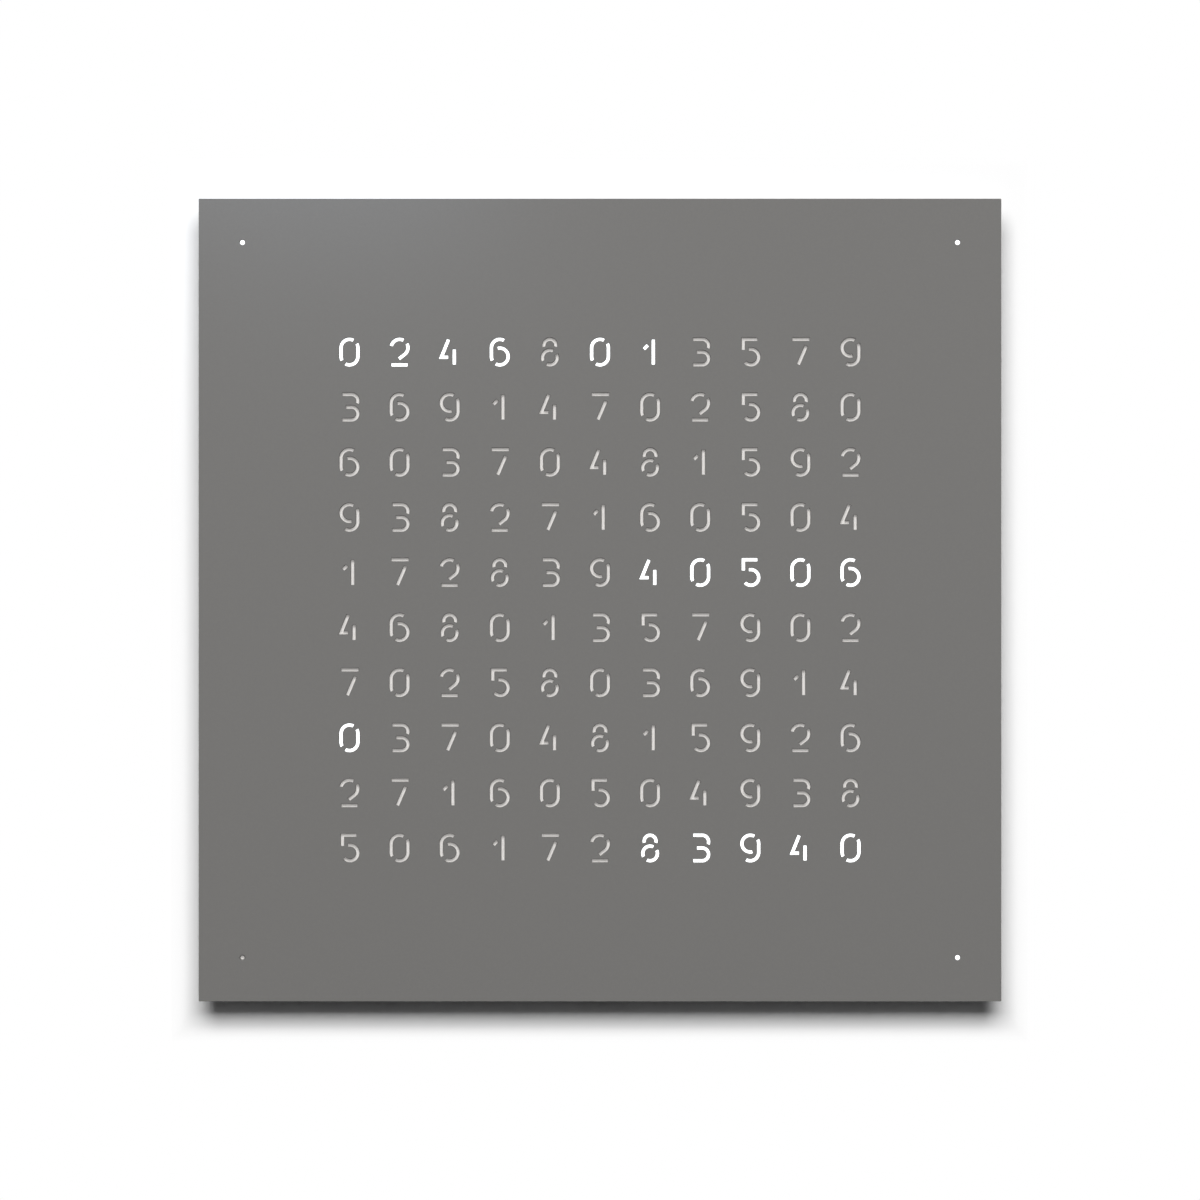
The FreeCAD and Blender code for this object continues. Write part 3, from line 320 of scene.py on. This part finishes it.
MATERIALS = {
    "cover_coat": powder_coat("powder_coat_grey", (0.120, 0.117, 0.112)),
    "housing_plastic": moulded("housing_plastic", (0.034, 0.034, 0.036), 0.55),
    "stud_steel": brushed("stud_steel", (0.55, 0.55, 0.56), 0.30, (1, 30, 1)),
    "magnet_nickel": brushed("magnet_nickel", (0.62, 0.60, 0.57), 0.20),
    "screw_steel": brushed("screw_steel", (0.46, 0.46, 0.47), 0.34),
    "hanger_steel": galvanised("hanger_steel", (0.55, 0.56, 0.57)),
    "pad_rubber": rubber("pad_rubber", (0.022, 0.022, 0.023)),
    # The opal sheet glows a little all over: painted light that lightens the shade in the unlit
    # strokes.
    "opal_sheet": opal("opal_sheet", OPAL, PAINTED_SHEET_GLOW),
    "grid_white": moulded("grid_white", (0.78, 0.78, 0.76), 0.6),
    "board_white": board("board_white", (0.72, 0.73, 0.72)),
    "board_green": board("board_green", (0.020, 0.11, 0.055)),
    "led_white": moulded("led_white", (0.82, 0.80, 0.66), 0.3, 0.8 * MM, 0.004 * MM),
    "chip_black": moulded("chip_black", (0.022, 0.022, 0.024), 0.6, 0.25 * MM, 0.008 * MM),
    "can_metal": brushed("can_metal", (0.72, 0.72, 0.73), 0.28),
    "cell_steel": brushed("cell_steel", (0.62, 0.62, 0.62), 0.25),
    "socket_cream": moulded("socket_cream", (0.72, 0.69, 0.58), 0.5),
    "ribbon_white": moulded("ribbon_white", (0.74, 0.75, 0.76), 0.4),
    "cable_black": rubber("cable_black", (0.025, 0.025, 0.026)),
    "contact_brass": brushed("contact_brass", (0.70, 0.53, 0.24), 0.25, (1, 1, 30)),
    "button_plastic": moulded("button_plastic", (0.060, 0.060, 0.062), 0.42, 0.9 * MM, 0.005 * MM),
    "window_clear": clear("window_clear", (0.9, 0.92, 0.93)),
}
LIT_SHEET = opal("opal_sheet_lit", OPAL, CELL_LIGHT)
# The slot walls are painted lighter than the coat. This painted light hides the shade in the slots
# and widens the glow of the lit ones.
LIGHTENED_SLOT_WALL = moulded("slot_wall_lightened", (0.17, 0.17, 0.16), 0.6)


def dress(obj, *materials):
    """Clears the materials only where there are any, because that resets those of the faces."""
    if obj.data.materials:
        obj.data.materials.clear()
    for material in materials:
        obj.data.materials.append(material)


def added(name, mesh):
    obj = bpy.data.objects.new(name, mesh)
    bpy.context.scene.collection.objects.link(obj)
    return obj


# Stencil digits. A stroke is a run of lines and arcs on its centreline, in the plane of the face.
def line(x0, z0, x1, z1):
    return ("line", (x0, z0), (x1, z1))


def arc(centre_x, centre_z, radius, start, end):
    """Angles in degrees. The arc runs anticlockwise where end is larger than start."""
    return ("arc", (centre_x, centre_z), radius, start, end)


def half_gap(radius):
    """Half the angle of a bridge across a bowl of this radius."""
    return math.degrees((BRIDGE + STROKE_FRONT - STROKE_BACK) / 2 / radius)


def half_turned(strokes):
    """The strokes turned by half a turn, as a six becomes a nine."""
    turned = []
    for stroke in strokes:
        run = []
        for piece in stroke:
            x, z = piece[1]
            if piece[0] == "line":
                run.append(line(-x, -z, -piece[2][0], -piece[2][1]))
            else:
                run.append(arc(-x, -z, piece[2], piece[3] + 180, piece[4] + 180))
        turned.append(run)
    return turned


def digit_strokes(digit):
    a = DIGIT_HALF_WIDTH
    b = DIGIT_HALF_HEIGHT
    c = b - a
    gap = half_gap(a)
    if digit == 0:
        left = [arc(0, c, a, 45 + gap, 180), line(-a, c, -a, -c), arc(0, -c, a, 180, 225 - gap)]
        right = [arc(0, -c, a, 225 + gap, 360), line(a, -c, a, c), arc(0, c, a, 0, 45 - gap)]
        return [left, right]
    if digit == 1:
        stem = 1.8 * MM
        flag_start = (-3.6 * MM, 1.55 * MM)
        flag_end = (-1.2 * MM, 3.95 * MM)
        return [[line(stem, b, stem, -b)], [line(*flag_start, *flag_end)]]
    if digit == 2:
        reach = math.hypot(a, b + c)
        slope = math.atan2(b + c, a) - math.asin(a / reach)
        run = math.sqrt(reach ** 2 - a ** 2)
        foot = 5.4 * MM
        tangent = (-a + run * math.cos(slope), -b + run * math.sin(slope))
        low = (-a + foot * math.cos(slope), -b + foot * math.sin(slope))
        return [
            [arc(0, c, a, 45 + gap, 170)],
            [arc(0, c, a, 45 - gap, math.degrees(slope) - 90), line(*tangent, *low)],
            [line(-a, -b, a, -b)],
        ]
    if digit == 3:
        r = b / 2
        x = a - r
        end = -a + BAR_TRIM
        waist_end = -2.0 * MM
        return [
            [line(end, b, x, b), arc(x, r, r, 90, -26)],
            [line(waist_end, 0, x, 0), arc(x, -r, r, 90, -90), line(x, -b, end, -b)],
        ]
    if digit == 4:
        peak = -0.6 * MM
        stem = 2.6 * MM
        stem_top = 1.6 * MM
        bar = -2.9 * MM
        return [
            [line(peak, b, -a, bar), line(-a, bar, stem - STROKE_FRONT - BRIDGE / 2, bar)],
            [line(stem, stem_top, stem, -b)],
        ]
    if digit == 5:
        waist = 1.6 * MM
        waist_end = -1.0 * MM
        r = (b + waist) / 2
        x = a - r
        side = -a + 0.8 * MM
        side_foot = 1.0 * MM
        return [
            [line(a - BAR_TRIM, b, side, b), line(side, b, side, side_foot)],
            [line(waist_end, waist, x, waist), arc(x, waist - r, r, 90, -140)],
        ]
    if digit == 6:
        return [
            [arc(0, c, a, 58, 180), line(-a, c, -a, -c), arc(0, -c, a, 180, 225 - gap)],
            [arc(0, -c, a, 225 + gap, 360 + 106)],
        ]
    if digit == 7:
        leg_top = (3.4 * MM, 3.6 * MM)
        leg_foot = (-1.2 * MM, -b)
        return [[line(-a, b, a + BAR_TRIM, b)], [line(*leg_top, *leg_foot)]]
    if digit == 8:
        low = 4.1 * MM
        high = 3.3 * MM
        gap = half_gap(low)
        z = -b + low
        return [
            [arc(0, b - high, high, -18, 198)],
            [arc(0, z, low, 45 + gap, 225 - gap)],
            [arc(0, z, low, 225 + gap, 405 - gap)],
        ]
    return half_turned(digit_strokes(6))


def digit_at(row, column):
    """A plain mixed order: each row steps through the digits at its own pace."""
    pace = row % 5 + 2
    return (pace * column + 3 * row) % 11 % 10


def line_side(piece, offset):
    """Both ends of a line moved to the left of travel, and its direction."""
    (x0, z0), (x1, z1) = piece[1], piece[2]
    length = math.hypot(x1 - x0, z1 - z0)
    ux, uz = (x1 - x0) / length, (z1 - z0) / length
    shift = (-uz * offset, ux * offset)
    return (x0 + shift[0], z0 + shift[1]), (x1 + shift[0], z1 + shift[1]), (ux, uz)


def mitre(first, second, offset):
    """Where the shifted lines of a corner cross."""
    _, end, (ux, uz) = line_side(first, offset)
    start, _, (vx, vz) = line_side(second, offset)
    cross = ux * vz - uz * vx
    t = ((start[0] - end[0]) * vz - (start[1] - end[1]) * vx) / cross
    return (end[0] + ux * t, end[1] + uz * t)


def side_points(stroke, offset):
    """The points of one side of a stroke, in order of travel."""
    points = []
    for index, piece in enumerate(stroke):
        if piece[0] == "arc":
            _, (cx, cz), radius, start, end = piece
            turn = 1 if end > start else -1
            r = radius - turn * offset
            steps = max(2, math.ceil(abs(end - start) / ARC_STEP))
            for step in range(steps + 1):
                angle = math.radians(start + (end - start) * step / steps)
                points.append((cx + r * math.cos(angle), cz + r * math.sin(angle)))
            continue
        start, end, _ = line_side(piece, offset)
        if index > 0 and stroke[index - 1][0] == "line":
            start = mitre(stroke[index - 1], piece, offset)
        if index + 1 < len(stroke) and stroke[index + 1][0] == "line":
            end = mitre(piece, stroke[index + 1], offset)
        points += [start, end]
    return [p for i, p in enumerate(points) if i == 0 or math.dist(p, points[i - 1]) > SAME_POINT]


def pushed(end, before, distance):
    """The end of a side moved on along it."""
    length = math.dist(end, before)
    return tuple(e + (e - b) / length * distance for e, b in zip(end, before))


def stroke_ring(stroke, width, longer):
    """The closed outline of a stroke. Its ends reach out by longer."""
    left = side_points(stroke, width / 2)
    right = side_points(stroke, -width / 2)
    for side in (left, right):
        first = pushed(side[0], side[1], longer)
        last = pushed(side[-1], side[-2], longer)
        side[0], side[-1] = first, last
    return left + right[::-1]


def circle_ring(radius):
    turns = [2 * math.pi * i / CIRCLE_SIDES for i in range(CIRCLE_SIDES)]
    return [(radius * math.cos(turn), radius * math.sin(turn)) for turn in turns]


def square_ring(half_x, half_z, corner):
    ring = []
    for quarter, (sx, sz) in enumerate(((1, 1), (-1, 1), (-1, -1), (1, -1))):
        for step in range(CORNER_STEPS + 1):
            angle = math.radians(90 * quarter + 90 * step / CORNER_STEPS)
            ring.append((sx * (half_x - corner) + corner * math.cos(angle),
                         sz * (half_z - corner) + corner * math.sin(angle)))
    return ring


def moved(ring, x, z):
    return [(px + x, pz + z) for px, pz in ring]


def cell_centres():
    for row in range(ROWS):
        for column in range(COLUMNS):
            x = (column - (COLUMNS - 1) / 2) * PITCH_X
            z = ((ROWS - 1) / 2 - row) * PITCH_Z
            yield row, column, x, z


def dot_centres():
    """The place of each corner dot, and whether it is lit."""
    for sx, sz in CORNERS:
        yield sx * DOT_REACH, sz * DOT_REACH, (sx, sz) != UNLIT_DOT


def is_lit(row, column):
    return any(row == lit_row and column in columns for lit_row, columns in LIT_CELLS)


# Flat sheets with shaped holes
def filled(bm, outer, holes):
    """Flat triangles between an outer ring of vertices and the rings of its holes."""
    rings = [outer] + holes
    verts = [v for ring in rings for v in ring]
    flat = [Vector((v.co.x, v.co.z)) for v in verts]
    faces = []
    start = 0
    for ring in rings:
        faces.append(list(range(start, start + len(ring))))
        start += len(ring)
    inside_with_holes = 2
    _, _, triangles, origin, _, _ = geometry.delaunay_2d_cdt(
        flat, [], faces, inside_with_holes, FILL_TOLERANCE)
    return [bm.faces.new([verts[origin[i][0]] for i in triangle]) for triangle in triangles]


def ring_verts(bm, ring, y):
    return [bm.verts.new((x, y, z)) for x, z in ring]


def wall(bm, first, second):
    """Quads between two rings of the same count."""
    made = []
    for i in range(len(first)):
        j = (i + 1) % len(first)
        made.append(bm.faces.new((first[i], first[j], second[j], second[i])))
    return made


def lip_steps(width, depth):
    """A rounded coat edge, as steps inwards from the opening and down from the face."""
    turns = [math.pi / 2 * step / LIP_STEPS for step in range(LIP_STEPS + 1)]
    return [(width * math.sin(turn), depth * (1 - math.cos(turn))) for turn in turns]


def hole(ring_inside, back, x, z):
    """The rings of a hole with their depths. ring_inside gives the front ring at an inset."""
    rings = []
    for inset, depth in lip_steps(SLOT_LIP, SLOT_LIP_DEPTH):
        rings.append((moved(ring_inside(inset), x, z), depth))
    rings.append((moved(back, x, z), COVER_THICKNESS))
    return rings


def holes():
    """Every hole of the cover, from its front face to its back face."""
    for row, column, x, z in cell_centres():
        for stroke in digit_strokes(digit_at(row, column)):
            def stroke_inside(inset):
                return stroke_ring(stroke, STROKE_FRONT - 2 * inset, -inset)

            yield hole(stroke_inside, stroke_ring(stroke, STROKE_BACK, -SLOT_LIP), x, z)
    for x, z, lit in dot_centres():
        def circle_inside(inset):
            return circle_ring(DOT_FRONT / 2 - inset)

        yield hole(circle_inside, circle_ring(DOT_BACK / 2 - (0 if lit else SLOT_LIP)), x, z)


def mark_sharp(bm):
    for edge in bm.edges:
        if len(edge.link_faces) == 2:
            edge.smooth = edge.calc_face_angle() < SHARP_ANGLE


def finish_mesh(bm, name, body, flats):
    """The mesh as a piece on its body. The flats are shaded flat and all the rest smooth."""
    bmesh.ops.recalc_face_normals(bm, faces=bm.faces)
    for face in bm.faces:
        face.smooth = True
    for face in flats:
        face.smooth = False
    mark_sharp(bm)
    mesh = bpy.data.meshes.new(name)
    bm.to_mesh(mesh)
    bm.free()
    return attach(added(name, mesh), body)


def front_cover():
    """The cut sheet. The walls of its holes have a material of their own below the lip, painted
    lighter than the coat to hide the shade in the slots.
    """
    low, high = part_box("front_cover")
    front, back, half = low.y, high.y, high.x
    bm = bmesh.new()
    front_holes, back_holes = [], []
    for rings in holes():
        made = [ring_verts(bm, ring, front + depth) for ring, depth in rings]
        for first, second in zip(made, made[1:-1]):
            wall(bm, first, second)
        for face in wall(bm, made[-2], made[-1]):
            face.material_index = 1
        front_holes.append(made[0])
        back_holes.append(made[-1])
    edge = [(COAT_EDGE - inset, depth) for inset, depth in lip_steps(COAT_EDGE, COAT_EDGE)]
    profile = [(inset, front + depth) for inset, depth in edge]
    profile += [(inset, back - depth) for inset, depth in reversed(edge)]
    outer = []
    for inset, y in profile:
        outer.append(ring_verts(bm, square_ring(half - inset, half - inset, SHEET_CORNER), y))
    for first, second in zip(outer, outer[1:]):
        wall(bm, first, second)
    flats = filled(bm, outer[0], front_holes) + filled(bm, outer[-1], back_holes)
    obj = finish_mesh(bm, "front_cover_sheet", "cover", flats)
    dress(obj, MATERIALS["cover_coat"], LIGHTENED_SLOT_WALL)
    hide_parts("front_cover")


def diffuser():
    """The opal sheet. Its lit cells and dots are patches of their own in its front face."""
    low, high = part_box("diffuser_sheet")
    front, back, half = low.y, high.y, high.x
    edge = DIFFUSER_EDGE
    bm = bmesh.new()
    rim = ring_verts(bm, square_ring(half - edge, half - edge, SHEET_CORNER), front)
    well = square_ring((PITCH_X - GRID_WALL) / 2, (PITCH_Z - GRID_WALL) / 2, WELL_CORNER)
    tube = circle_ring(TUBE_BORE / 2)
    lit = [moved(well, x, z) for row, column, x, z in cell_centres() if is_lit(row, column)]
    lit += [moved(tube, x, z) for x, z, dot_lit in dot_centres() if dot_lit]
    patches = [ring_verts(bm, ring, front) for ring in lit]
    flats = filled(bm, rim, patches)
    for patch in patches:
        flats.append(bm.faces.new(patch))
        flats[-1].material_index = 1
    rings = [rim]
    for inset, y in ((0.0, front + edge), (0.0, back - edge), (edge, back)):
        rings.append(ring_verts(bm, square_ring(half - inset, half - inset, SHEET_CORNER), y))
    for first, second in zip(rings, rings[1:]):
        wall(bm, first, second)
    flats.append(bm.faces.new(rings[-1]))
    obj = finish_mesh(bm, "opal_diffuser", "housing", flats)
    dress(obj, MATERIALS["opal_sheet"], LIT_SHEET)
    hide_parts("diffuser_sheet")


def softened(node, width):
    """The shape of a CAD piece of the housing, with small rounded edges."""
    mesh = nodes[node].data.copy()
    bm = bmesh.new()
    bm.from_mesh(mesh)
    bmesh.ops.remove_doubles(bm, verts=bm.verts, dist=SAME_POINT)
    bmesh.ops.dissolve_limit(bm, angle_limit=COPLANAR_ANGLE, verts=bm.verts, edges=bm.edges)
    bm.to_mesh(mesh)
    bm.free()
    obj = added(node + "_soft", mesh)
    bevel = obj.modifiers.new("edges", "BEVEL")
    bevel.width = width
    bevel.segments = ROUNDING_STEPS
    bevel.limit_method = "ANGLE"
    bevel.angle_limit = ROUNDED_ANGLE
    evaluated = obj.evaluated_get(bpy.context.evaluated_depsgraph_get())
    final = bpy.data.meshes.new_from_object(evaluated)
    obj.modifiers.clear()
    obj.data = final
    shaded = bmesh.new()
    shaded.from_mesh(final)
    for face in shaded.faces:
        squarest = max(abs(n) for n in face.normal)
        face.smooth = face.calc_area() < FLAT_AREA or squarest < FLAT_NORMAL
    mark_sharp(shaded)
    shaded.to_mesh(final)
    shaded.free()
    dress(obj, MATERIALS[slots[node]])
    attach(obj, "housing")
    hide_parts(node)


# Stage
def largest(tree, *values):
    """The largest of these node outputs."""
    top = values[0]
    for value in values[1:]:
        node = tree.nodes.new("ShaderNodeMath")
        node.operation = "MAXIMUM"
        tree.links.new(top, node.inputs[0])
        tree.links.new(value, node.inputs[1])
        top = node.outputs[0]
    return top


def stage_material(name, near, far):
    """White, and seen only by the camera, from its front. It takes shadows out to near, in metres
    from the middle along either side, and is a plain white from far on."""
    material = bpy.data.materials.new(name)
    material.use_nodes = True
    tree = material.node_tree
    tree.nodes.clear()
    new = tree.nodes.new
    link = tree.links.new
    diffuse = new("ShaderNodeBsdfDiffuse")
    diffuse.inputs["Color"].default_value = (1, 1, 1, 1)
    glow = new("ShaderNodeEmission")
    glow.inputs["Color"].default_value = (1, 1, 1, 1)
    size = new("ShaderNodeVectorMath")
    size.operation = "ABSOLUTE"
    link(new("ShaderNodeTexCoord").outputs["Object"], size.inputs[0])
    shifted = new("ShaderNodeVectorMath")
    shifted.operation = "ADD"
    shifted.inputs[1].default_value = (SIDE_SHIFT, 0, 0)
    link(size.outputs["Vector"], shifted.inputs[0])
    parts = new("ShaderNodeSeparateXYZ")
    link(shifted.outputs["Vector"], parts.inputs["Vector"])
    fade = new("ShaderNodeMapRange")
    fade.inputs["From Min"].default_value = near
    fade.inputs["From Max"].default_value = far
    link(largest(tree, *parts.outputs), fade.inputs["Value"])
    lit = new("ShaderNodeMixShader")
    link(fade.outputs["Result"], lit.inputs["Fac"])
    link(diffuse.outputs[0], lit.inputs[1])
    link(glow.outputs[0], lit.inputs[2])
    front = new("ShaderNodeMath")
    front.operation = "SUBTRACT"
    front.use_clamp = True
    link(new("ShaderNodeLightPath").outputs["Is Camera Ray"], front.inputs[0])
    link(new("ShaderNodeNewGeometry").outputs["Backfacing"], front.inputs[1])
    seen = new("ShaderNodeMixShader")
    link(front.outputs[0], seen.inputs["Fac"])
    link(new("ShaderNodeBsdfTransparent").outputs[0], seen.inputs[1])
    link(lit.outputs[0], seen.inputs[2])
    link(seen.outputs[0], new("ShaderNodeOutputMaterial").inputs["Surface"])
    return material


def plane(name, corners, origin, near, far):
    mesh = bpy.data.meshes.new(name)
    corners = [Vector(corner) - Vector(origin) for corner in corners]
    mesh.from_pydata(corners, [], [list(range(len(corners)))])
    obj = added(name, mesh)
    obj.location = origin
    dress(obj, stage_material(name, near, far))


def stage():
    wall_y = cad_high.y + WALL_CLEARANCE
    half = STAGE_HALF
    low = FLOOR_Z
    upright = [(x, wall_y, z) for x, z in ((-half, low), (half, low), (half, half), (-half, half))]
    level = [(x, y, low) for x, y in ((-half, -half), (half, -half), (half, half), (-half, half))]
    near = cad_high.x + SHADOW_REACH
    far = cad_high.x + WHITE_FROM
    plane("backdrop", upright, (0, wall_y, 0), near, far)
    plane("floor", level, (0, 0, low), half / 4, half / 2)


def area_light(name, place, target, width, height, radiance, colour):
    """A flat light. Radiance 1 from every side would show a white surface as white."""
    data = bpy.data.lights.new(name, "AREA")
    data.shape = "RECTANGLE"
    data.size = width
    data.size_y = height
    data.energy = radiance * math.pi * width * height
    data.color = colour
    light = added(name, data)
    light.location = place
    light.rotation_mode = "QUATERNION"
    light.rotation_quaternion = (Vector(target) - Vector(place)).to_track_quat("-Z", "Y")
    light.visible_camera = False


def world():
    """White where it is seen, also in reflections and through clear pieces, and dim as a light."""
    sky = bpy.data.worlds.new("studio")
    sky.use_nodes = True
    bpy.context.scene.world = sky
    tree = sky.node_tree
    background = tree.nodes["Background"]
    background.inputs["Color"].default_value = (1, 1, 1, 1)
    path = tree.nodes.new("ShaderNodeLightPath").outputs
    seen = largest(tree, path["Is Camera Ray"], path["Is Transmission Ray"], path["Is Glossy Ray"])
    strength = tree.nodes.new("ShaderNodeMapRange")
    strength.inputs["To Min"].default_value = WORLD_AMBIENT
    strength.inputs["To Max"].default_value = WORLD_SEEN
    tree.links.new(seen, strength.inputs["Value"])
    tree.links.new(strength.outputs["Result"], background.inputs["Strength"])


def camera():
    data = bpy.data.cameras.new("camera")
    data.sensor_width = SENSOR
    data.lens = SENSOR / (FRAME_WIDTH / CAMERA_DISTANCE)
    data.clip_start = CLIP_NEAR
    data.clip_end = CLIP_FAR
    obj = added("camera", data)
    obj.location = (0, cad_low.y - CAMERA_DISTANCE, 0)
    obj.rotation_euler = (math.radians(90), 0, 0)
    bpy.context.scene.camera = obj


for node, obj in nodes.items():
    dress(obj, MATERIALS[slots[node]])
front_cover()
diffuser()
for node, width in ROUNDED_EDGES.items():
    softened(node, width)
stage()
for light in LIGHTS:
    area_light(*light)
world()
camera()
bpy.context.scene.view_settings.view_transform = "Standard"

bpy.context.view_layer.update()
